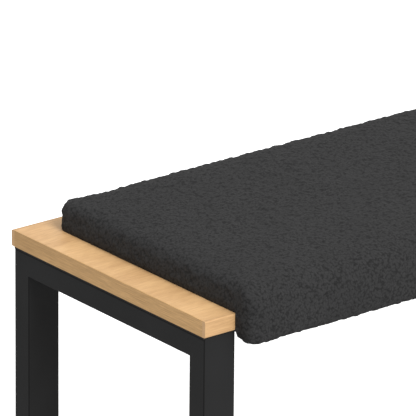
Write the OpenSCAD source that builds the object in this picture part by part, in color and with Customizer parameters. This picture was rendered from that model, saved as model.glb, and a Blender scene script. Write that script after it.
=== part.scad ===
// Entryway bench: a veneered board on two rectangular steel tube frames,
// with a soft seat pad that rolls over the board's front edge.
// X runs along the bench, the front faces -Y, Z is up and the floor is z = 0.

/* [Board] */
// Length of the board, end to end
board_len = 1000; // [800:10:1200]
// Depth of the board, front to back
board_depth = 330; // [300:5:400]
// Whole thickness of the board, with its veneers
board_t = 18; // [16:1:22]
// Height of the board's top face above the floor
board_top = 440; // [380:5:480]
// Thickness of each face veneer
veneer_t = 0.6; // [0.5:0.1:1]
// Depth of the solid wood lipping on the front and back edges
lipping_t = 5; // [3:0.5:8]
// Thickness of the band on each end
end_band_t = 1; // [0.8:0.1:2]
// Rounding of the lipping's outer long edges
lipping_r = 1.5; // [0.5:0.5:2.5]

/* [Frames] */
// Width of the tube, along the bench
tube_w = 40; // [30:1:50]
// Thickness of the tube, in the plane of the frame
tube_d = 25; // [20:1:30]
// Wall of every tube
tube_wall = 1.5; // [1.2:0.1:2]
// Outer corner radius of every tube
tube_r = 1.5; // [1:0.5:3]
// How far the frames stand in from the board's ends
frame_end_inset = 1.5; // [0:0.5:20]
// How far the frames stand in from the board's front and back
frame_side_inset = 3; // [0:0.5:20]
// Thickness of the mounting plate on top of each frame
plate_t = 3; // [2:0.5:3]
// How far the mounting plate reaches inwards past the tube
plate_reach = 32; // [28:1:45]

/* [Stretchers] */
// Side of the square stretcher tube
stretcher_w = 25; // [20:1:25]
// Distance from the board's front or back edge to the stretcher
stretcher_inset = 60; // [45:1:90]
// Thickness of the plates welded on the stretchers' ends
end_plate_t = 3; // [2:0.5:4]

/* [Seat pad] */
// Distance from the board's ends to the pad
pad_end_inset = 40.5; // [20:0.5:80]
// Distance from the board's back edge to the pad
pad_back_inset = 23.5; // [5:0.5:60]
// Height of the pad above the board
pad_h = 33; // [28:0.5:50]
// How far the front roll stands ahead of the board
roll_out = 28; // [23:0.5:35]
// How far the front roll hangs below the board's top face
roll_drop = 30; // [24:0.5:40]
// Radius of the roll's upper front edge
roll_top_r = 26; // [16:1:28]
// Radius of the roll's lower edges
roll_bottom_r = 11; // [6:0.5:11]
// Radius of the pad's upper back edge
pad_back_r = 8; // [6:0.5:20]
// Radius of the pad's corners, seen from above
pad_corner_r = 18; // [8:1:24]
// Thickness of the bouclé cover
cover_t = 3; // [2:0.5:4]
// Width of the cover's hem, turned under the pad
hem_w = 12; // [8:1:20]

/* [Feet] */
// Height of the frames above the floor, feet screwed right in
foot_h = 12; // [12:0.5:16]
// Diameter of the foot pads
foot_pad_d = 30; // [24:1:34]
// Diameter of the foot studs
stud_d = 8; // [6:1:8]

/* [Hidden] */

$fn = 48;
arc_steps = 10;
// Room round a piece that is pushed or laid in
slack = 0.3;
// Room round a thread
run_gap = 0.05;
// Room round a screw in its hole, and in a hole that clears it
screw_gap = 0.1;
clear_gap = 0.4;
// How far a cutting shape stands past what it cuts
past = 1;

// Places along Y: the whole bench, roll included, is centred on Y = 0
front_y = -(board_depth - roll_out) / 2;
back_y = front_y + board_depth;
board_bottom = board_top - board_t;
half_len = board_len / 2;
left = -1;
right = 1;

// Frames
frame_front_y = front_y + frame_side_inset;
frame_back_y = back_y - frame_side_inset;
frame_top = board_bottom - plate_t;
frame_depth = frame_back_y - frame_front_y;
frame_outer_x = half_len - frame_end_inset;
frame_inner_x = frame_outer_x - tube_w;
plate_inner_x = frame_inner_x - plate_reach;

// Stretchers
stretcher_front_y = front_y + stretcher_inset + stretcher_w / 2;
stretcher_back_y = back_y - stretcher_inset - stretcher_w / 2;
stretcher_ys = [stretcher_front_y, stretcher_back_y];
stretcher_half = frame_inner_x - end_plate_t;
stretcher_top = board_bottom;
stretcher_mid_z = frame_top - tube_d / 2;
end_plate_ear = 18;
end_plate_w = stretcher_w + 2 * end_plate_ear;
bolt_from_tube = 10;
bolt_offset = stretcher_w / 2 + bolt_from_tube;
bolt_ys = [for (y = stretcher_ys, s = [-1, 1]) y + s * bolt_offset];

// M6 button-head bolts and their rivet nuts
bolt_r = 3;
bolt_reach = 14;
bolt_head_r = 5.25;
bolt_crown_r = 3.8;
bolt_head_h = 3.3;
bolt_socket_r = 2.3;
bolt_socket_depth = 2;
rivet_nut_r = 4.5;
rivet_nut_len = 13;
rivet_nut_bulge_r = 5.5;
rivet_nut_bulge_h = 3;
rivet_nut_flange_r = 6.5;
rivet_nut_flange_t = 0.8;

// Pan-head wood screws into the board
screw_r = 2.1;
screw_bite = 13;
screw_head_r = 4;
screw_crown_r = 2.8;
screw_head_h = 2.6;
cross_len = 4;
cross_w = 0.8;
cross_depth = 1.4;
plate_screw_share = 0.55;
plate_screw_x = frame_inner_x - plate_reach * plate_screw_share;
plate_screw_from_end = 18;
plate_screw_from_stretcher = 60;
plate_screw_ys = [
    frame_front_y + plate_screw_from_end,
    stretcher_front_y + plate_screw_from_stretcher,
    stretcher_back_y - plate_screw_from_stretcher,
    frame_back_y - plate_screw_from_end
];
stretcher_screw_x = board_len * 0.28;
stretcher_screw_xs = [-stretcher_screw_x, 0, stretcher_screw_x];
board_screw_places = concat(
    [for (s = [left, right], y = plate_screw_ys) [s * plate_screw_x, y]],
    [for (x = stretcher_screw_xs, y = stretcher_ys) [x, y]]
);

// Levelling feet
foot_x = frame_outer_x - tube_w / 2;
foot_from_end = 34;
foot_front_y = frame_front_y + foot_from_end;
foot_back_y = frame_back_y - foot_from_end;
foot_ys = [foot_front_y, foot_back_y];
stud_r = stud_d / 2;
insert_flange_t = 1;
insert_flange_r = 7.5;
insert_r = 5.5;
insert_len = 14;
insert_bulge_r = 7;
insert_bulge_h = 3.5;
foot_pad_top = 7;
foot_pad_rim = 3.5;
foot_pad_bevel = 1;
foot_pad_neck_r = 8.5;
foot_socket_z = 2;
stud_in_frame = 21;
stud_top = foot_h + stud_in_frame;
stud_hex_af = 13;

// Seat pad
pad_half = half_len - pad_end_inset;
pad_back_y = back_y - pad_back_inset;
roll_front_y = front_y - roll_out;
roll_bottom = board_top - roll_drop;
pad_top = board_top + pad_h;
pad_depth = pad_back_y - roll_front_y;
pad_mid_y = (pad_back_y + roll_front_y) / 2;
foam_gap = cover_t + slack;
liner_gap = hem_w + slack;
liner_t = 1.4;
tape_t = 0.8;
liner_bottom = board_top + 2 * tape_t;
liner_top = liner_bottom + liner_t;
tape_w = 25;
tape_len = 240;
tape_x = pad_half * 0.6;
tape_from_back = 45;
tape_from_front = 70;
tape_places = [
    for (x = [-tape_x, 0, tape_x], y = [pad_back_y - tape_from_back, front_y + tape_from_front]) [x, y]
];

oak = [0.84, 0.67, 0.47];
oak_light = [0.88, 0.72, 0.52];
chipboard = [0.72, 0.60, 0.42];
black_steel = [0.10, 0.10, 0.11];
zinc = [0.72, 0.72, 0.70];
charcoal = [0.17, 0.17, 0.18];
foam_grey = [0.62, 0.63, 0.60];
black_plastic = [0.06, 0.06, 0.06];

// ---- shared shapes ----

// A box from one corner to the opposite one
module block(low, high) {
    translate(low) cube(high - low);
}

// Solid swept along X from an outline drawn in Y and Z
module along_x(x0, x1) {
    translate([x0, 0, 0]) rotate([90, 0, 90]) linear_extrude(x1 - x0) children();
}

// Rectangle centred on the origin with round corners
module round_rect(w, h, r) {
    square([w, h - 2 * r], center = true);
    square([w - 2 * r, h], center = true);
    for (x = [-1, 1], y = [-1, 1]) {
        translate([x * (w / 2 - r), y * (h / 2 - r)]) circle(r);
    }
}

module tube_section(w, h) {
    difference() {
        round_rect(w, h, tube_r);
        round_rect(w - 2 * tube_wall, h - 2 * tube_wall, tube_r / 2);
    }
}

// Points of a round corner from one angle to another
function arc(centre, r, from, to) = [
    for (i = [0:arc_steps]) let(a = from + (to - from) * i / arc_steps)
        centre + r * [cos(a), sin(a)]
];

// ---- board ----

// Screw holes from below into the board, with a little room round each screw
module board_screw_holes() {
    for (p = board_screw_places) {
        translate([p[0], p[1], board_bottom - past]) {
            cylinder(r = screw_r + screw_gap, h = screw_bite + screw_gap + past);
        }
    }
}

// A layer of the board between the lippings and the end bands
module board_slab(z0, z1) {
    block(
        [-half_len + end_band_t, front_y + lipping_t, z0],
        [half_len - end_band_t, back_y - lipping_t, z1]
    );
}

module board_core() {
    color(chipboard) difference() {
        board_slab(board_bottom + veneer_t, board_top - veneer_t);
        board_screw_holes();
    }
}

module top_veneer() {
    color(oak_light) board_slab(board_top - veneer_t, board_top);
}

module bottom_veneer() {
    color(oak_light) difference() {
        board_slab(board_bottom, board_bottom + veneer_t);
        board_screw_holes();
    }
}

// Lipping along a long edge that faces -Y, its outer edges rounded
module lipping(y_out) {
    along_x(-half_len, half_len) translate([y_out, board_bottom]) {
        translate([0, lipping_r]) square([lipping_t, board_t - 2 * lipping_r]);
        translate([lipping_r, 0]) square([lipping_t - lipping_r, board_t]);
        for (z = [lipping_r, board_t - lipping_r]) translate([lipping_r, z]) circle(lipping_r);
    }
}

module front_lipping() {
    color(oak) lipping(front_y);
}

module back_lipping() {
    color(oak) mirror([0, 1, 0]) lipping(-back_y);
}

module end_band(s) {
    x_out = s * half_len;
    x_in = s * (half_len - end_band_t);
    block(
        [min(x_out, x_in), front_y + lipping_t, board_bottom],
        [max(x_out, x_in), back_y - lipping_t, board_top]
    );
}

module left_end_band() {
    color(oak) end_band(left);
}

module right_end_band() {
    color(oak) end_band(right);
}

// ---- seat pad ----

// Outline of the pad in Y and Z, pulled in by d all round
function pad_outline(d) = concat(
    [[pad_back_y - d, board_top + d]],
    arc([pad_back_y - pad_back_r, pad_top - pad_back_r], pad_back_r - d, 0, 90),
    arc([roll_front_y + roll_top_r, pad_top - roll_top_r], roll_top_r - d, 90, 180),
    arc([roll_front_y + roll_bottom_r, roll_bottom + roll_bottom_r], roll_bottom_r - d, 180, 270),
    arc([front_y - slack - roll_bottom_r, roll_bottom + roll_bottom_r], roll_bottom_r - d, 270, 360),
    [[front_y - slack - d, board_top + d]]
);

// Upright prism as large as the pad seen from above, pulled in by d all round
module pad_plan(d, z0, z1) {
    translate([0, pad_mid_y, z0]) linear_extrude(z1 - z0) {
        round_rect(2 * (pad_half - d), pad_depth - 2 * d, pad_corner_r - d);
    }
}

// The pad's body, pulled in by d all round
module pad_body(d) {
    intersection() {
        along_x(-pad_half, pad_half) polygon(pad_outline(d));
        pad_plan(d, roll_bottom, pad_top);
    }
}

// Bouclé cover with its hem turned under, open where the liner closes it
module seat_cover() {
    color(charcoal) difference() {
        pad_body(0);
        pad_body(cover_t);
        block(
            [-pad_half + hem_w, front_y + hem_w, board_top - past],
            [pad_half - hem_w, pad_back_y - hem_w, board_top + cover_t + past]
        );
    }
}

module seat_foam() {
    color(foam_grey) intersection() {
        pad_body(foam_gap);
        block([-half_len, front_y + foam_gap, liner_top + slack], [half_len, back_y, pad_top]);
    }
}

// The strip of foam glued along the slab's front edge, which fills the roll
module front_roll_foam() {
    color(foam_grey) intersection() {
        pad_body(foam_gap);
        block([-half_len, roll_front_y, roll_bottom], [half_len, front_y + foam_gap, pad_top]);
    }
}

module pad_liner() {
    color(black_plastic) block(
        [-pad_half + liner_gap, front_y + liner_gap, liner_bottom],
        [pad_half - liner_gap, pad_back_y - liner_gap, liner_top]
    );
}

module tapes(z0) {
    for (p = tape_places) {
        translate([p[0], p[1], z0 + tape_t / 2]) cube([tape_len, tape_w, tape_t], center = true);
    }
}

module loop_strips() {
    color(black_plastic) tapes(board_top + tape_t);
}

module hook_strips() {
    color(black_plastic) tapes(board_top);
}

// ---- steel frames ----

// Keeps the part of a tube inside four corners given in Y and Z: its mitred ends
module mitred(s, corners) {
    intersection() {
        children();
        along_x(-half_len, half_len) polygon(corners);
    }
}

module upright(s, y_mid) {
    translate([s * foot_x, y_mid, foot_h]) linear_extrude(frame_top - foot_h) {
        tube_section(tube_w, tube_d);
    }
}

module crossbar(s, z_mid) {
    translate([s * foot_x, frame_back_y, z_mid]) rotate([90, 0, 0]) linear_extrude(frame_depth) {
        tube_section(tube_w, tube_d);
    }
}

module front_leg(s) {
    color(black_steel) mitred(s, [
        [frame_front_y, foot_h], [frame_front_y + tube_d, foot_h + tube_d],
        [frame_front_y + tube_d, frame_top - tube_d], [frame_front_y, frame_top]
    ]) upright(s, frame_front_y + tube_d / 2);
}

module rear_leg(s) {
    color(black_steel) mitred(s, [
        [frame_back_y, foot_h], [frame_back_y - tube_d, foot_h + tube_d],
        [frame_back_y - tube_d, frame_top - tube_d], [frame_back_y, frame_top]
    ]) upright(s, frame_back_y - tube_d / 2);
}

// Top rail, with holes in its inner wall for the stretchers' rivet nuts
module top_rail(s) {
    color(black_steel) difference() {
        mitred(s, [
            [frame_front_y, frame_top], [frame_front_y + tube_d, frame_top - tube_d],
            [frame_back_y - tube_d, frame_top - tube_d], [frame_back_y, frame_top]
        ]) crossbar(s, frame_top - tube_d / 2);
        for (y = bolt_ys) {
            translate([s * frame_inner_x, y, stretcher_mid_z]) rotate([0, 90, 0]) {
                cylinder(r = rivet_nut_r, h = 4 * tube_wall, center = true);
            }
        }
    }
}

// Bottom rail, with holes in its lower wall for the foot inserts
module bottom_rail(s) {
    color(black_steel) difference() {
        mitred(s, [
            [frame_front_y, foot_h], [frame_front_y + tube_d, foot_h + tube_d],
            [frame_back_y - tube_d, foot_h + tube_d], [frame_back_y, foot_h]
        ]) crossbar(s, foot_h + tube_d / 2);
        for (y = foot_ys) {
            translate([s * foot_x, y, foot_h]) {
                cylinder(r = insert_r, h = 4 * tube_wall, center = true);
            }
        }
    }
}

// Flat plate on a frame, notched where the stretchers pass
module mount_plate(s) {
    x_out = s * frame_outer_x;
    x_in = s * plate_inner_x;
    x_notch = s * (plate_inner_x - past);
    x_tube = s * frame_inner_x;
    color(black_steel) difference() {
        block(
            [min(x_out, x_in), frame_front_y, frame_top],
            [max(x_out, x_in), frame_back_y, board_bottom]
        );
        for (y = stretcher_ys) {
            block(
                [min(x_notch, x_tube), y - stretcher_w / 2 - past, frame_top - past],
                [max(x_notch, x_tube), y + stretcher_w / 2 + past, board_bottom + past]
            );
        }
        for (y = plate_screw_ys) {
            translate([s * plate_screw_x, y, frame_top - past]) {
                cylinder(r = screw_r + clear_gap, h = plate_t + 2 * past);
            }
        }
    }
}

module left_front_leg() front_leg(left);
module left_rear_leg() rear_leg(left);
module left_top_rail() top_rail(left);
module left_bottom_rail() bottom_rail(left);
module left_mount_plate() mount_plate(left);
module right_front_leg() front_leg(right);
module right_rear_leg() rear_leg(right);
module right_top_rail() top_rail(right);
module right_bottom_rail() bottom_rail(right);
module right_mount_plate() mount_plate(right);

// ---- stretchers ----

// Square tube under the board, drilled through for its screws
module stretcher(y) {
    color(black_steel) difference() {
        translate([-stretcher_half, y, stretcher_top - stretcher_w / 2]) rotate([90, 0, 90]) {
            linear_extrude(2 * stretcher_half) tube_section(stretcher_w, stretcher_w);
        }
        for (x = stretcher_screw_xs) {
            translate([x, y, stretcher_top - stretcher_w - past]) {
                cylinder(r = screw_head_r + past, h = stretcher_w - tube_wall);
                cylinder(r = screw_r + clear_gap, h = stretcher_w + 2 * past);
            }
        }
    }
}

module front_stretcher() stretcher(stretcher_front_y);
module rear_stretcher() stretcher(stretcher_back_y);

// Turns a shape drawn along +Z so that it points outwards along X on one side
module outwards(s, x, y, z) {
    translate([s * x, y, z]) rotate([0, s * 90, 0]) children();
}

// Plates welded on the stretchers' ends, bored for the bolts and for the rivet nuts' flanges
module stretcher_end_plates() {
    flange_room = rivet_nut_flange_t + screw_gap;
    color(black_steel) for (s = [left, right], y = stretcher_ys) {
        difference() {
            translate([s * (frame_inner_x - end_plate_t / 2), y, stretcher_mid_z]) {
                cube([end_plate_t, end_plate_w, tube_d], center = true);
            }
            for (side = [-1, 1]) {
                outwards(s, frame_inner_x, y + side * bolt_offset, stretcher_mid_z) {
                    cylinder(r = bolt_r + clear_gap, h = 2 * (end_plate_t + past), center = true);
                    cylinder(r = rivet_nut_flange_r + screw_gap, h = 2 * flange_room, center = true);
                }
            }
        }
    }
}

module stretcher_bolts() {
    color(zinc) for (s = [left, right], y = bolt_ys) {
        outwards(s, frame_inner_x - end_plate_t, y, stretcher_mid_z) {
            cylinder(r = bolt_r, h = bolt_reach);
            translate([0, 0, -bolt_head_h]) difference() {
                cylinder(r1 = bolt_crown_r, r2 = bolt_head_r, h = bolt_head_h);
                translate([0, 0, -past]) cylinder(r = bolt_socket_r, h = past + bolt_socket_depth, $fn = 6);
            }
        }
    }
}

module stretcher_rivet_nuts() {
    color(zinc) for (s = [left, right], y = bolt_ys) {
        outwards(s, frame_inner_x, y, stretcher_mid_z) difference() {
            union() {
                translate([0, 0, -rivet_nut_flange_t]) {
                    cylinder(r = rivet_nut_flange_r, h = rivet_nut_flange_t);
                }
                cylinder(r = rivet_nut_r, h = rivet_nut_len);
                translate([0, 0, tube_wall]) cylinder(r = rivet_nut_bulge_r, h = rivet_nut_bulge_h);
            }
            translate([0, 0, -rivet_nut_flange_t - past]) {
                cylinder(r = bolt_r + run_gap, h = rivet_nut_len + rivet_nut_flange_t + 2 * past);
            }
        }
    }
}

// A pan-head screw pointing up; the origin is under its head
module wood_screw(shank) {
    cylinder(r = screw_r, h = shank);
    translate([0, 0, -screw_head_h]) difference() {
        cylinder(r1 = screw_crown_r, r2 = screw_head_r, h = screw_head_h);
        for (a = [0, 90]) {
            rotate([0, 0, a]) cube([cross_len, cross_w, 2 * cross_depth], center = true);
        }
    }
}

module plate_screws() {
    color(zinc) for (s = [left, right], y = plate_screw_ys) {
        translate([s * plate_screw_x, y, frame_top]) wood_screw(plate_t + screw_bite);
    }
}

module stretcher_screws() {
    color(zinc) for (x = stretcher_screw_xs, y = stretcher_ys) {
        translate([x, y, stretcher_top - tube_wall]) wood_screw(tube_wall + screw_bite);
    }
}

// ---- levelling feet ----

module foot_inserts() {
    color(zinc) for (s = [left, right], y = foot_ys) {
        translate([s * foot_x, y, foot_h]) difference() {
            union() {
                translate([0, 0, -insert_flange_t]) cylinder(r = insert_flange_r, h = insert_flange_t);
                cylinder(r = insert_r, h = insert_len);
                translate([0, 0, tube_wall]) cylinder(r = insert_bulge_r, h = insert_bulge_h);
            }
            translate([0, 0, -insert_flange_t - past]) {
                cylinder(r = stud_r + run_gap, h = insert_len + insert_flange_t + 2 * past);
            }
        }
    }
}

// Threaded stud with its hexagon, standing in the pad's socket
module foot_stud(s, y) {
    stud_z = foot_socket_z + slack;
    hex_z = foot_pad_top + slack;
    hex_top = foot_h - insert_flange_t;
    color(zinc) translate([s * foot_x, y, 0]) {
        translate([0, 0, stud_z]) cylinder(r = stud_r, h = stud_top - stud_z);
        translate([0, 0, hex_z]) cylinder(r = stud_hex_af / sqrt(3), h = hex_top - hex_z, $fn = 6);
    }
}

// Foot pad with a socket for the stud
module foot_pad(s, y) {
    pad_r = foot_pad_d / 2;
    color(black_plastic) translate([s * foot_x, y, 0]) rotate_extrude() difference() {
        polygon([
            [0, 0], [pad_r - foot_pad_bevel, 0], [pad_r, foot_pad_bevel], [pad_r, foot_pad_rim],
            [foot_pad_neck_r, foot_pad_top], [0, foot_pad_top]
        ]);
        translate([-past, foot_socket_z]) square([stud_r + run_gap + past, foot_pad_top]);
    }
}

module left_front_foot_stud() foot_stud(left, foot_front_y);
module left_front_foot_pad() foot_pad(left, foot_front_y);
module left_rear_foot_stud() foot_stud(left, foot_back_y);
module left_rear_foot_pad() foot_pad(left, foot_back_y);
module right_front_foot_stud() foot_stud(right, foot_front_y);
module right_front_foot_pad() foot_pad(right, foot_front_y);
module right_rear_foot_stud() foot_stud(right, foot_back_y);
module right_rear_foot_pad() foot_pad(right, foot_back_y);

board_core();
top_veneer();
bottom_veneer();
front_lipping();
back_lipping();
left_end_band();
right_end_band();
seat_cover();
seat_foam();
front_roll_foam();
pad_liner();
loop_strips();
hook_strips();
left_front_leg();
left_rear_leg();
left_top_rail();
left_bottom_rail();
left_mount_plate();
right_front_leg();
right_rear_leg();
right_top_rail();
right_bottom_rail();
right_mount_plate();
front_stretcher();
rear_stretcher();
stretcher_end_plates();
stretcher_bolts();
stretcher_rivet_nuts();
plate_screws();
stretcher_screws();
foot_inserts();
left_front_foot_stud();
left_front_foot_pad();
left_rear_foot_stud();
left_rear_foot_pad();
right_front_foot_stud();
right_front_foot_pad();
right_rear_foot_stud();
right_rear_foot_pad();
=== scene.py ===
"""The entryway bench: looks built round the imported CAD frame. Metres, in the row frame."""

import math

import bpy
import bmesh
import numpy as np
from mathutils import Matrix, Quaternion, Vector


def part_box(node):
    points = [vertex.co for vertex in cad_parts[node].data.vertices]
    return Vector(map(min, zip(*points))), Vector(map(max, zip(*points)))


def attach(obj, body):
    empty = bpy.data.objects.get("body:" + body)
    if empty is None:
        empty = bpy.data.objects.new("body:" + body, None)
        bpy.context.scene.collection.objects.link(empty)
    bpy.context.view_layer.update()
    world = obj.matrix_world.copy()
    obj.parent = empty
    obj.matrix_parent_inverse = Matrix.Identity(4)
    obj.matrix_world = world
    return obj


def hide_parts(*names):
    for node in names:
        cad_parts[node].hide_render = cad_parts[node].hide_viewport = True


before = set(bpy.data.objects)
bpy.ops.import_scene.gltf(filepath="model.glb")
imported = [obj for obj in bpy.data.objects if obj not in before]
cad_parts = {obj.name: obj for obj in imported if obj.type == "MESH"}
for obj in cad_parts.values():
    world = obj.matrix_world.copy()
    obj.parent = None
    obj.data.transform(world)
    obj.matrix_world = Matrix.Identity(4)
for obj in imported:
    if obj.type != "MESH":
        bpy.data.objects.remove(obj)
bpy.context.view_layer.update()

MM = 0.001

# ---------------------------------------------------------------- places taken from the frame

COVER_LOW, COVER_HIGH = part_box("seat_cover")
BOARD_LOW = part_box("left_end_band")[0]
BOARD_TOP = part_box("top_veneer")[1].z
BOARD_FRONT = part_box("front_lipping")[0].y
BOARD_LEFT = BOARD_LOW.x

# ---------------------------------------------------------------- camera, stage and light

# angles in degrees; the camera's pose was fitted to the photographed edges
CAMERA_AZIMUTH = -38.229
CAMERA_ELEVATION = 20.734
CAMERA_ROLL = 0.505
CAMERA_DISTANCE = 6.917
CAMERA_SENSOR_MM = 36
CAMERA_LENS_MM = 564.7
AIM_FROM_LEFT_END = 0.204
AIM_BEHIND_FRONT_EDGE = 0.256

FLOOR_SIZE = 240.0
WORLD_SEEN = 1.1
WORLD_LIGHT = 0.74
KEY_AZIMUTH = 2
KEY_ELEVATION = 43
KEY_SPREAD = 30
KEY_STRENGTH = 2.65


def toward(azimuth, elevation):
    """The unit vector from the object to a viewer or a lamp.

    Azimuth is 0 in front of the object and -90 on its left.
    """
    a, e = math.radians(azimuth), math.radians(elevation)
    return Vector((math.sin(a) * math.cos(e), -math.cos(a) * math.cos(e), math.sin(e)))


def make_camera():
    """A long lens at the photograph's viewing angle, aimed at the bench's left end."""
    aim_x = BOARD_LEFT + AIM_FROM_LEFT_END
    aim_y = BOARD_FRONT + AIM_BEHIND_FRONT_EDGE
    aim = Vector((aim_x, aim_y, BOARD_TOP))
    back = toward(CAMERA_AZIMUTH, CAMERA_ELEVATION)
    data = bpy.data.cameras.new("camera")
    data.sensor_width = CAMERA_SENSOR_MM
    data.lens = CAMERA_LENS_MM
    data.clip_end = 2 * FLOOR_SIZE
    camera = bpy.data.objects.new("camera", data)
    camera.rotation_mode = "QUATERNION"
    roll = Quaternion((0, 0, 1), math.radians(CAMERA_ROLL))
    camera.rotation_quaternion = (-back).to_track_quat("-Z", "Y") @ roll
    camera.location = aim + back * CAMERA_DISTANCE
    bpy.context.scene.collection.objects.link(camera)
    bpy.context.scene.camera = camera


def make_world():
    """A white room for the camera, and the same white at a lower strength as the fill light."""
    world = bpy.data.worlds.new("studio")
    bpy.context.scene.world = world
    world.use_nodes = True
    tree = world.node_tree
    tree.nodes.clear()
    out = tree.nodes.new("ShaderNodeOutputWorld")
    seen = tree.nodes.new("ShaderNodeBackground")
    seen.inputs["Strength"].default_value = WORLD_SEEN
    fill = tree.nodes.new("ShaderNodeBackground")
    fill.inputs["Strength"].default_value = WORLD_LIGHT
    for background in (seen, fill):
        background.inputs["Color"].default_value = (1, 1, 1, 1)
    path = tree.nodes.new("ShaderNodeLightPath")
    mix = tree.nodes.new("ShaderNodeMixShader")
    tree.links.new(path.outputs["Is Camera Ray"], mix.inputs["Fac"])
    _, for_other_rays, for_camera_rays = mix.inputs
    tree.links.new(fill.outputs["Background"], for_other_rays)
    tree.links.new(seen.outputs["Background"], for_camera_rays)
    tree.links.new(mix.outputs["Shader"], out.inputs["Surface"])


def softbox(name, azimuth, elevation, spread, strength):
    """A far studio lamp, so wide that its shadows are soft and even over the whole floor."""
    data = bpy.data.lights.new(name, "SUN")
    data.angle = math.radians(spread)
    data.energy = strength
    lamp = bpy.data.objects.new(name, data)
    lamp.rotation_mode = "QUATERNION"
    lamp.rotation_quaternion = (-toward(azimuth, elevation)).to_track_quat("-Z", "Y")
    bpy.context.scene.collection.objects.link(lamp)


def make_floor():
    """A floor that the camera sees, but that neither lights the bench nor shows in its gloss."""
    bpy.ops.mesh.primitive_plane_add(size=FLOOR_SIZE)
    floor = bpy.context.object
    floor.name = "floor"
    floor.data.materials.append(floor_material())
    floor.visible_diffuse = False
    floor.visible_glossy = False


# ---------------------------------------------------------------- node helpers

# the Mix node repeats its socket names for each data type; these are its colour sockets
MIX_COLOUR_A = 6
MIX_COLOUR_B = 7
MIX_COLOUR_RESULT = 2

# how much an object-space normal leans off an axis, as its largest part
CORNER_FLAT = 0.985
CORNER_EDGE = 0.8


class Shader:
    """Builds one Principled material from nodes placed in the object's own metres."""

    def __init__(self, name, **constants):
        self.material = bpy.data.materials.new(name)
        self.material.use_nodes = True
        self.tree = self.material.node_tree
        self.surface = self.tree.nodes["Principled BSDF"]
        for socket, value in constants.items():
            self.surface.inputs[socket.replace("_", " ")].default_value = value
        self.coordinates = self.tree.nodes.new("ShaderNodeTexCoord")

    def node(self, kind, settings=None, **inputs):
        made = self.tree.nodes.new("ShaderNode" + kind)
        for key, value in (settings or {}).items():
            setattr(made, key, value)
        for key, value in inputs.items():
            self.feed(made.inputs[key.replace("_", " ")], value)
        return made

    def feed(self, socket, value):
        if isinstance(value, bpy.types.NodeSocket):
            self.tree.links.new(value, socket)
        else:
            socket.default_value = value

    def place(self, scale=(1, 1, 1), shift=(0, 0, 0)):
        made = self.node("Mapping", Vector=self.coordinates.outputs["Object"])
        made.inputs["Scale"].default_value = scale
        made.inputs["Location"].default_value = shift
        return made.outputs["Vector"]

    def noise(self, vector, scale, detail=2.0, roughness=0.5, distortion=0.0):
        made = self.node(
            "TexNoise",
            Vector=vector,
            Scale=scale,
            Detail=detail,
            Roughness=roughness,
            Distortion=distortion,
        )
        return made.outputs["Fac"]

    def cells(self, vector, scale, randomness=1.0):
        made = self.node("TexVoronoi", Vector=vector, Scale=scale, Randomness=randomness)
        return made.outputs["Distance"]

    def math(self, operation, a, b=0.0):
        made = self.tree.nodes.new("ShaderNodeMath")
        made.operation = operation
        self.feed(made.inputs[0], a)
        self.feed(made.inputs[1], b)
        return made.outputs["Value"]

    def span(self, value, low, high, to_low=0.0, to_high=1.0):
        made = self.tree.nodes.new("ShaderNodeMapRange")
        for socket, given in zip(made.inputs, (value, low, high, to_low, to_high)):
            self.feed(socket, given)
        return made.outputs["Result"]

    def mix(self, share, a, b):
        made = self.tree.nodes.new("ShaderNodeMix")
        made.data_type = "RGBA"
        self.feed(made.inputs["Factor"], share)
        self.feed(made.inputs[MIX_COLOUR_A], a)
        self.feed(made.inputs[MIX_COLOUR_B], b)
        return made.outputs[MIX_COLOUR_RESULT]

    def ramp(self, value, *stops):
        made = self.tree.nodes.new("ShaderNodeValToRGB")
        self.feed(made.inputs["Fac"], value)
        elements = made.color_ramp.elements
        while len(elements) < len(stops):
            elements.new(0.5)
        for element, (position, colour) in zip(elements, stops):
            element.position = position
            element.color = (*colour, 1)
        return made.outputs["Color"]

    def bump(self, height, distance, strength=1.0):
        made = self.node("Bump", Height=height, Distance=distance, Strength=strength)
        return made.outputs["Normal"]

    def corners(self):
        """1 on a rounded corner and 0 on a flat face that looks along an axis."""
        split = self.node("SeparateXYZ", Vector=self.coordinates.outputs["Normal"])
        x, y, z = [self.math("ABSOLUTE", part) for part in split.outputs]
        most = self.math("MAXIMUM", self.math("MAXIMUM", x, y), z)
        return self.span(most, CORNER_EDGE, CORNER_FLAT, 1.0, 0.0)

    def finish(self, **sockets):
        for socket, value in sockets.items():
            self.feed(self.surface.inputs[socket.replace("_", " ")], value)
        return self.material


# ---------------------------------------------------------------- materials

# noise and cell scales are per metre, so 1000 is one feature to a millimetre
OAK_LIGHT = (0.86, 0.55, 0.265)
OAK_DARK = (0.58, 0.335, 0.148)
OAK_EDGE_LIGHT = (0.82, 0.52, 0.25)
OAK_EDGE_DARK = (0.54, 0.31, 0.138)
OAK_BAND_LIGHT = (0.77, 0.46, 0.185)
OAK_BAND_DARK = (0.52, 0.295, 0.105)
OAK_BROAD_SCALE = 18
OAK_FIGURE_SCALE = 90
OAK_MOTTLE_SCALE = 420
OAK_FIBRE_SCALE = 1000
OAK_PORE_SCALE = 1500
OAK_FIGURE_STRETCH = 0.12
OAK_FIBRE_STRETCH = 0.03
OAK_PORE_STRETCH = 0.2
OAK_FIBRE_SHADE = 0.74
OAK_PORE_SHADE = 0.5
OAK_PORE_SHARE = 0.3
OAK_PORE_DEPTH = 0.8
OAK_RELIEF = 0.06 * MM
OAK_FACE_STREAK = 0.3
OAK_EDGE_STREAK = 0.7
OAK_BAND_STREAK = 0.9
OAK_FACE_SHIFT = (0.53, 0.11, 0.3)
OAK_EDGE_SHIFT = (0.8, 0.63, 0.5)
OAK_BAND_SHIFT = (0.1, 0.7, 0.4)
STEEL_PEEL_SCALE = 900
STEEL_CLOUD_SCALE = 14
STEEL_DARK = (0.0108, 0.0109, 0.0111)
STEEL_PALE = (0.014, 0.0141, 0.0144)
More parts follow.
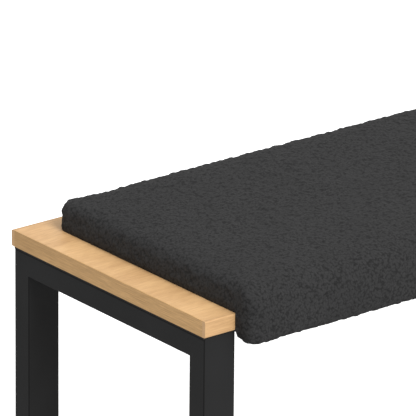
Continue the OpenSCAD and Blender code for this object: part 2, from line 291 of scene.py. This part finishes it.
# painted shade: the dark reflection line that the tubes' rounded corners show, put into the
# coat's colour
STEEL_CORNER_PAINTED_SHADE = (0.002, 0.002, 0.002)
STEEL_RELIEF = 0.03 * MM
BOUCLE_WANDER_SCALE = 240
BOUCLE_WANDER = 0.005
BOUCLE_LOOP_SCALE = 360
BOUCLE_CURL_SCALE = 760
BOUCLE_CLOUD_SCALE = 22
BOUCLE_LOOP_SHARE = 0.55
BOUCLE_CURL_SHARE = 0.45
BOUCLE_CLOUD_SHARE = 0.18
BOUCLE_RELIEF = 1.1 * MM
FLOOR_GLOW = 0.45
FLOOR_TONES = (0.93, 0.95)
# painted shade in the pits between loops, also the tone of the random darker clouds; painted
# highlight on the loop crowns
BOUCLE_PIT_SHADE_AND_CLOUD = (0.0162, 0.0161, 0.0163)
BOUCLE_YARN = (0.0318, 0.0316, 0.032)
BOUCLE_CROWN_HIGHLIGHT = (0.0425, 0.0423, 0.0428)


def floor_material():
    """Matt white studio floor with a barely uneven tone."""
    s = Shader(
        "studio_floor", Roughness=0.9, Emission_Color=(1, 1, 1, 1), Emission_Strength=FLOOR_GLOW
    )
    darker, paler = [(grey, grey, grey) for grey in FLOOR_TONES]
    return s.finish(Base_Color=s.ramp(s.noise(s.place(), 0.8), (0.0, darker), (1.0, paler)))


def drawn_out(along, share):
    """A texture scale that makes a feature 1/share as long along the grain as across it."""
    return (share, 1, 1) if along == "x" else (1, share, 1)


def shade(colour, share=1.0):
    """The colour made darker by a share, as a socket's RGBA."""
    return (*[part * share for part in colour], 1)


def oak(name, along, light, dark, streak, shift):
    """Light oak: soft figure, mottle, fine fibres and short pores, drawn out along the grain."""
    s = Shader(name, Roughness=0.45)
    across_figure = s.place(drawn_out(along, OAK_FIGURE_STRETCH), shift)
    across_fibre = s.place(drawn_out(along, OAK_FIBRE_STRETCH), shift)
    across_pores = s.place(drawn_out(along, OAK_PORE_STRETCH), shift)
    broad = s.noise(across_figure, OAK_BROAD_SCALE, 3, 0.55, 0.6)
    figure = s.noise(across_figure, OAK_FIGURE_SCALE, 2, 0.6, 1.2)
    mottle = s.noise(across_pores, OAK_MOTTLE_SCALE, 2, 0.6)
    fibre = s.noise(across_fibre, OAK_FIBRE_SCALE, 3, 0.7)
    pores = s.noise(across_pores, OAK_PORE_SCALE, 1, 0.5)
    value = s.math("ADD", s.math("MULTIPLY", broad, 0.5), s.math("MULTIPLY", figure, 0.25))
    value = s.math("ADD", value, s.math("MULTIPLY", mottle, 0.25))
    wide = s.mix(s.span(value, 0.36, 0.64), shade(dark), shade(light))
    lines = s.mix(s.span(fibre, 0.3, 0.7, 0.0, streak), wide, shade(dark, OAK_FIBRE_SHADE))
    pore_mask = s.span(pores, 0.66, 0.78)
    pore_share = s.math("MULTIPLY", pore_mask, OAK_PORE_SHARE)
    tone = s.mix(pore_share, lines, shade(dark, OAK_PORE_SHADE))
    rough = s.span(fibre, 0.2, 0.8, 0.4, 0.52)
    height = s.math("SUBTRACT", fibre, s.math("MULTIPLY", pore_mask, OAK_PORE_DEPTH))
    return s.finish(Base_Color=tone, Roughness=rough, Normal=s.bump(height, OAK_RELIEF, 0.6))


def black_steel():
    """Fine-textured black powder coat, with a painted dark reflection line along the tubes'
    rounded corners.
    """
    s = Shader("black_steel_coat", Specular_IOR_Level=0.2)
    peel = s.noise(s.place(), STEEL_PEEL_SCALE, 3, 0.6)
    cloud = s.noise(s.place(), STEEL_CLOUD_SCALE, 2, 0.5)
    tone = s.ramp(cloud, (0.3, STEEL_DARK), (0.7, STEEL_PALE))
    # painted dark reflection: the tubes' rounded corners are darkened in the colour
    tone = s.mix(s.corners(), tone, shade(STEEL_CORNER_PAINTED_SHADE))
    rough = s.span(peel, 0.2, 0.8, 0.6, 0.72)
    return s.finish(Base_Color=tone, Roughness=rough, Normal=s.bump(peel, STEEL_RELIEF, 0.5))


def plastic():
    """Black moulded plastic of the foot pads, with a fine moulded grain."""
    s = Shader("black_foot_plastic", Roughness=0.5)
    grain = s.noise(s.place(), 2500, 2, 0.6)
    tone = s.ramp(grain, (0.3, (0.012, 0.012, 0.013)), (0.7, (0.02, 0.02, 0.021)))
    rough = s.span(grain, 0.2, 0.8, 0.42, 0.6)
    return s.finish(Base_Color=tone, Roughness=rough, Normal=s.bump(grain, 0.04 * MM))


def zinc():
    """Zinc plating of the screws, studs and inserts, cloudy in tone and gloss."""
    s = Shader("zinc_plate", Metallic=1.0)
    cloud = s.noise(s.place(), 220, 3, 0.6)
    tone = s.ramp(cloud, (0.3, (0.42, 0.43, 0.44)), (0.7, (0.6, 0.61, 0.62)))
    return s.finish(Base_Color=tone, Roughness=s.span(cloud, 0.2, 0.8, 0.28, 0.46))


def chipboard():
    """The board's chipboard core, its chips lying along the bench."""
    s = Shader("chipboard_core", Roughness=0.85)
    chips = s.cells(s.place((0.5, 1, 1)), 350)
    tone = s.ramp(chips, (0.1, (0.42, 0.29, 0.17)), (0.7, (0.58, 0.43, 0.27)))
    return s.finish(Base_Color=tone, Normal=s.bump(chips, 0.15 * MM))


def liner():
    """Dark fleece under the pad."""
    s = Shader("pad_liner_fleece", Roughness=0.9)
    fibres = s.noise(s.place((1, 0.2, 1)), 1800, 3, 0.7, 1.5)
    tone = s.ramp(fibres, (0.3, (0.012, 0.012, 0.012)), (0.7, (0.03, 0.03, 0.03)))
    return s.finish(Base_Color=tone, Normal=s.bump(fibres, 0.1 * MM))


def hook_tape():
    """Black hook and loop tape."""
    s = Shader("hook_and_loop_tape", Roughness=0.8)
    hooks = s.cells(s.place(), 700, 0.3)
    tone = s.ramp(hooks, (0.1, (0.035, 0.035, 0.035)), (0.6, (0.01, 0.01, 0.01)))
    return s.finish(Base_Color=tone, Normal=s.bump(hooks, 0.3 * MM))


def boucle():
    """Charcoal bouclé: curled yarn loops, with painted highlight on their crowns, painted shade
    in the pits between them, and darker clouds at random.
    """
    s = Shader(
        "boucle_charcoal",
        Roughness=1.0,
        Sheen_Weight=0.03,
        Sheen_Roughness=0.6,
        Specular_IOR_Level=0.06,
    )
    wander = s.node("TexNoise", Vector=s.place(), Scale=BOUCLE_WANDER_SCALE, Detail=2.0)
    bent = s.node("VectorMath", {"operation": "MULTIPLY_ADD"})
    s.feed(bent.inputs[0], wander.outputs["Color"])
    bent.inputs[1].default_value = (BOUCLE_WANDER,) * 3
    s.feed(bent.inputs[2], s.place())
    loops = s.cells(bent.outputs["Vector"], BOUCLE_LOOP_SCALE)
    curls = s.noise(bent.outputs["Vector"], BOUCLE_CURL_SCALE, 2, 0.6, 2.0)
    cloud = s.noise(s.place(), BOUCLE_CLOUD_SCALE, 3, 0.6)
    crown = s.span(loops, 0.0, 0.75, 1.0, 0.0)
    raised = s.math("MULTIPLY", crown, BOUCLE_LOOP_SHARE)
    yarn = s.math("ADD", raised, s.math("MULTIPLY", curls, BOUCLE_CURL_SHARE))
    # painted shade in the pits and painted highlight on the crowns, following the loops' height
    tone = s.ramp(yarn, (0.2, BOUCLE_PIT_SHADE_AND_CLOUD), (0.38, BOUCLE_YARN), (0.85, BOUCLE_CROWN_HIGHLIGHT))
    tone = s.mix(s.span(cloud, 0.3, 0.7, 0.0, BOUCLE_CLOUD_SHARE), tone, shade(BOUCLE_PIT_SHADE_AND_CLOUD))
    return s.finish(Base_Color=tone, Normal=s.bump(yarn, BOUCLE_RELIEF, 0.7))


# ---------------------------------------------------------------- the pad

PAD_EDGE_R = 11 * MM
PAD_PLAN_R = 18 * MM
PAD_BACK_TOP_R = 9 * MM
PAD_UNDER_R = 1 * MM
ROLL_TOP_R = 25 * MM
ROLL_FRONT_R = 11 * MM
ROLL_UNDER_R = 10 * MM
PAD_TOP_SLACK = 1.6 * MM
PAD_GROWTH = 1.4 * MM
ROLL_HANG = 2.0 * MM
PAD_VOXEL = 4.7 * MM
SLOPE_STEP = 0.2 * MM
SLOPE_LEAST = 0.1
SETTLE_ROUNDS = 6
SETTLE_STEPS = 3
SETTLE_SHARE = 0.5
REST_MARGIN = 0.5 * MM
SWELL_PRESSURE = 4
SWELL_FRAMES = 16
SWELL_CAP = 4.0 * MM
SWELL_EASE = 12 * MM
NO_LENGTH = 1e-9
SNUG_REACH = 3.3 * MM
SNUG_FOLD = 1.8 * MM
SNUG_DROP = 8.5 * MM
SNUG_SLANT = 0.4
RIM_REACH = 2.6 * MM
RIM_TUCK = 1.0 * MM
HEM_WIDTH = 12 * MM
HEM_RISE = 1.55 * MM
UNDER_MARGIN = 0.1 * MM
LOOP_SIZE = 5.4 * MM
LOOP_HEIGHT = 2.3 * MM
LOOP_MEAN = 0.55
LOOP_LEAST = 0.4
LOOP_SEED = 7
LOOP_FADE = 4 * MM
LOOP_CLEAR = 2 * MM


def round_max(a, b, radius):
    """The larger of two distances, with the edge where they meet rounded."""
    u, v = np.maximum(radius + a, 0), np.maximum(radius + b, 0)
    return np.minimum(-radius, np.maximum(a, b)) + np.hypot(u, v)


def side_distance(p):
    """Distance from the pad's upright sides: behind, in front, and round its whole plan."""
    back = p[:, 1] - (COVER_HIGH.y + PAD_GROWTH)
    front = COVER_LOW.y - PAD_GROWTH - p[:, 1]
    ends = np.abs(p[:, 0]) - (COVER_HIGH.x + PAD_GROWTH)
    return back, front, round_max(np.maximum(back, front), ends, PAD_PLAN_R)


def pad_distance(p):
    """Distance from the pad before it swells, negative inside.

    The pad is a slab on the board that rolls down over the board's front.
    """
    y, z = p[:, 1], p[:, 2]
    back, front, plan = side_distance(p)
    top = z - (COVER_HIGH.z - PAD_TOP_SLACK)
    bottom = COVER_LOW.z - ROLL_HANG - z
    above_board = BOARD_TOP - z
    before_board = y - BOARD_FRONT
    outline = round_max(round_max(top, back, PAD_BACK_TOP_R), front, ROLL_TOP_R)
    outline = round_max(outline, bottom, ROLL_FRONT_R)
    body = round_max(outline, plan, PAD_EDGE_R)
    slab = round_max(body, above_board, PAD_UNDER_R)
    roll = np.maximum(body, round_max(before_board, bottom, ROLL_UNDER_R))
    return np.minimum(slab, roll)


def slope_of(distance, points):
    """The direction in which a distance grows, at each point."""
    ahead = [distance(points + SLOPE_STEP * axis) for axis in np.eye(3)]
    behind = [distance(points - SLOPE_STEP * axis) for axis in np.eye(3)]
    return (np.stack(ahead, axis=1) - np.stack(behind, axis=1)) / (2 * SLOPE_STEP)


def relaxed(points, edges):
    """Each point at the middle of its neighbours."""
    total = np.zeros_like(points)
    count = np.zeros(len(points))
    for near, far in ((0, 1), (1, 0)):
        np.add.at(total, edges[:, near], points[edges[:, far]])
        np.add.at(count, edges[:, near], 1)
    return total / count[:, None]


def plan_distance(points):
    return side_distance(points)[2]


def snug(points):
    """Draws the cover's lower rim to the board, and squares the roll's inner end edges."""
    plan = plan_distance(points)
    low = np.abs(points[:, 2] - BOARD_TOP) < RIM_REACH
    rim = low & (plan > -RIM_REACH) & (points[:, 1] > BOARD_FRONT + RIM_REACH)
    points[rim] -= (plan[rim, None] + RIM_TUCK) * slope_of(plan_distance, points[rim])
    points[rim, 2] = BOARD_TOP
    drop = np.maximum(BOARD_LOW.z - points[:, 2], 0)
    fold = COVER_HIGH.x + SNUG_FOLD - SNUG_SLANT * drop
    beside = points[:, 1] > BOARD_FRONT - SNUG_REACH
    at_end = np.abs(points[:, 0]) > fold - SNUG_REACH
    edge = beside & at_end & (points[:, 2] < BOARD_TOP) & (drop < SNUG_DROP)
    points[edge, 1] = BOARD_FRONT
    points[edge, 0] = (np.sign(points[:, 0]) * fold)[edge]
    return points


def settled(points, edges):
    """Moves points onto the pad's surface, and spreads them evenly over it."""
    for _ in range(SETTLE_ROUNDS):
        points = (1 - SETTLE_SHARE) * points + SETTLE_SHARE * relaxed(points, edges)
        for _ in range(SETTLE_STEPS):
            slope = slope_of(pad_distance, points)
            steep = np.maximum((slope**2).sum(1, keepdims=True), SLOPE_LEAST)
            points = points - pad_distance(points)[:, None] * slope / steep
        points = snug(points)
    return points


def pad_block():
    """The pad's blank: its side outline drawn out along the bench."""
    outline = [
        (COVER_HIGH.y, BOARD_TOP),
        (COVER_HIGH.y, COVER_HIGH.z),
        (COVER_LOW.y, COVER_HIGH.z),
        (COVER_LOW.y, COVER_LOW.z),
        (BOARD_FRONT, COVER_LOW.z),
        (BOARD_FRONT, BOARD_TOP),
    ]
    mesh = bpy.data.meshes.new("pad_cover")
    shape = bmesh.new()
    ends = (COVER_LOW.x, COVER_HIGH.x)
    rings = [[shape.verts.new((x, y, z)) for y, z in outline] for x in ends]
    shape.faces.new(rings[0])
    shape.faces.new(reversed(rings[1]))
    for i in range(len(outline)):
        j = (i + 1) % len(outline)
        shape.faces.new((rings[0][j], rings[0][i], rings[1][i], rings[1][j]))
    bmesh.ops.recalc_face_normals(shape, faces=shape.faces)
    shape.to_mesh(mesh)
    shape.free()
    cover = bpy.data.objects.new("pad_cover", mesh)
    bpy.context.scene.collection.objects.link(cover)
    return cover


def points_of(mesh):
    flat = np.empty(len(mesh.vertices) * 3, np.float64)
    mesh.vertices.foreach_get("co", flat)
    return flat.reshape(-1, 3)


def edges_of(mesh):
    flat = np.empty(len(mesh.edges) * 2, np.int32)
    mesh.edges.foreach_get("vertices", flat)
    return flat.reshape(-1, 2)


def normals_of(mesh):
    flat = np.empty(len(mesh.vertices) * 3, np.float32)
    mesh.vertex_normals.foreach_get("vector", flat)
    return flat.reshape(-1, 3).astype(np.float64)


def set_points(mesh, points):
    mesh.vertices.foreach_set("co", points.astype(np.float32).ravel())
    mesh.update()


def apply_modifiers(obj):
    dg = bpy.context.evaluated_depsgraph_get()
    mesh = bpy.data.meshes.new_from_object(obj.evaluated_get(dg))
    obj.modifiers.clear()
    obj.data = mesh


def on_board(points):
    """True for points that rest on the board's top or against its front edge."""
    low = points[:, 2] < BOARD_TOP + REST_MARGIN
    return low & (points[:, 1] > BOARD_FRONT - REST_MARGIN)


def swell(cover):
    """Cloth simulation: the cover fills out under pressure, held where it rests on the board."""
    start = points_of(cover.data)
    held = cover.vertex_groups.new(name="held")
    held.add([int(i) for i in np.flatnonzero(on_board(start))], 1.0, "REPLACE")
    cloth = cover.modifiers.new("cloth", "CLOTH")
    cloth.settings.use_pressure = True
    cloth.settings.uniform_pressure_force = SWELL_PRESSURE
    cloth.settings.vertex_group_mass = held.name
    cloth.settings.effector_weights.gravity = 0
    for frame_number in range(1, SWELL_FRAMES + 1):
        bpy.context.scene.frame_set(frame_number)
    apply_modifiers(cover)
    bpy.context.scene.frame_set(1)
    moved = points_of(cover.data) - start
    far = np.maximum(np.linalg.norm(moved, axis=1, keepdims=True), NO_LENGTH)
    set_points(cover.data, start + moved / far * SWELL_CAP * np.tanh(far / SWELL_EASE))


def loop_crowns(points, size, seed):
    """Height of the yarn loops, 0 to 1: one in each cell, at its own place and height."""
    low = points.min(0) - 2 * size
    cells = np.ceil((points.max(0) - low) / size).astype(int) + 3
    draw = np.random.default_rng(seed)
    jitter = draw.random((*cells, 3))
    heights = draw.uniform(LOOP_LEAST, 1, cells)
    scaled = (points - low) / size
    home = np.floor(scaled).astype(int)
    crowns = np.zeros(len(points))
    for step in np.ndindex(3, 3, 3):
        cell = home + np.array(step) - 1
        at = cell[:, 0], cell[:, 1], cell[:, 2]
        away = ((scaled - cell - jitter[at]) ** 2).sum(1)
        crowns = np.maximum(crowns, heights[at] * (1 - np.clip(away, 0, 1)))
    return crowns


def open_underside(cover):
    """Lifts the underside inside the turned-under hem, and makes it one flat face."""
    points = points_of(cover.data)
    under = np.abs(points[:, 2] - BOARD_TOP) < UNDER_MARGIN
    from_side = np.minimum(COVER_HIGH.x - np.abs(points[:, 0]), COVER_HIGH.y - points[:, 1])
    inside = under & (np.minimum(from_side, points[:, 1] - BOARD_FRONT) > HEM_WIDTH)
    points[inside, 2] = BOARD_TOP + HEM_RISE
    set_points(cover.data, points)
    shape = bmesh.new()
    shape.from_mesh(cover.data)
    shape.verts.ensure_lookup_table()
    lifted = {shape.verts[int(i)] for i in np.flatnonzero(inside)}
    middle = [face for face in shape.faces if all(vert in lifted for vert in face.verts)]
    bmesh.ops.delete(shape, geom=middle, context="FACES")
    bmesh.ops.holes_fill(shape, edges=[edge for edge in shape.edges if edge.is_boundary])
    bmesh.ops.recalc_face_normals(shape, faces=shape.faces)
    shape.to_mesh(cover.data)
    shape.free()


def raise_loops(cover):
    """Raises the larger yarn loops, fading out where the cover meets the board."""
    points = points_of(cover.data)
    height = loop_crowns(points, LOOP_SIZE, LOOP_SEED) - LOOP_MEAN
    free = np.clip((points[:, 2] - BOARD_TOP) / LOOP_FADE, 0, 1)
    free = np.where(points[:, 1] < BOARD_FRONT - LOOP_CLEAR, 1, free)
    raised = normals_of(cover.data) * (height * free * LOOP_HEIGHT)[:, None]
    set_points(cover.data, points + raised)


def make_pad():
    """The padded seat cover: settled onto its form, swollen, snugged to the board and looped."""
    cover = pad_block()
    remesh = cover.modifiers.new("remesh", "REMESH")
    remesh.mode = "VOXEL"
    remesh.voxel_size = PAD_VOXEL
    apply_modifiers(cover)
    set_points(cover.data, settled(points_of(cover.data), edges_of(cover.data)))
    swell(cover)
    cover.modifiers.new("fine", "SUBSURF").levels = 1
    apply_modifiers(cover)
    set_points(cover.data, snug(points_of(cover.data)))
    raise_loops(cover)
    open_underside(cover)
    for face in cover.data.polygons:
        face.use_smooth = True
    cover.data.materials.append(boucle())
    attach(cover, "bench")
    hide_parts("seat_cover", "seat_foam", "front_roll_foam")


# ---------------------------------------------------------------- finishes for the CAD nodes


def dress(nodes, finishes):
    """Gives each CAD node the finish of its record slot."""
    for name, node in nodes.items():
        slot = node.data.materials[0].name.split(".")[0] if node.data.materials else ""
        if slot in finishes:
            node.data.materials.clear()
            node.data.materials.append(finishes[slot])


make_camera()
make_world()
make_floor()
softbox("key", KEY_AZIMUTH, KEY_ELEVATION, KEY_SPREAD, KEY_STRENGTH)
oak_face = oak(
    "oak_veneer_finish", "x", OAK_LIGHT, OAK_DARK, OAK_FACE_STREAK, OAK_FACE_SHIFT
)
oak_edge = oak(
    "oak_lipping_finish", "x", OAK_EDGE_LIGHT, OAK_EDGE_DARK, OAK_EDGE_STREAK, OAK_EDGE_SHIFT
)
oak_end = oak(
    "oak_band_finish", "y", OAK_BAND_LIGHT, OAK_BAND_DARK, OAK_BAND_STREAK, OAK_BAND_SHIFT
)
dress(
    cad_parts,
    {
        "oak_veneer": oak_face,
        "oak_lipping": oak_edge,
        "oak_band": oak_end,
        "black_steel": black_steel(),
        "black_plastic": plastic(),
        "zinc": zinc(),
        "chipboard": chipboard(),
        "liner": liner(),
        "hook_tape": hook_tape(),
    },
)
make_pad()
bpy.context.scene.view_settings.view_transform = "Standard"
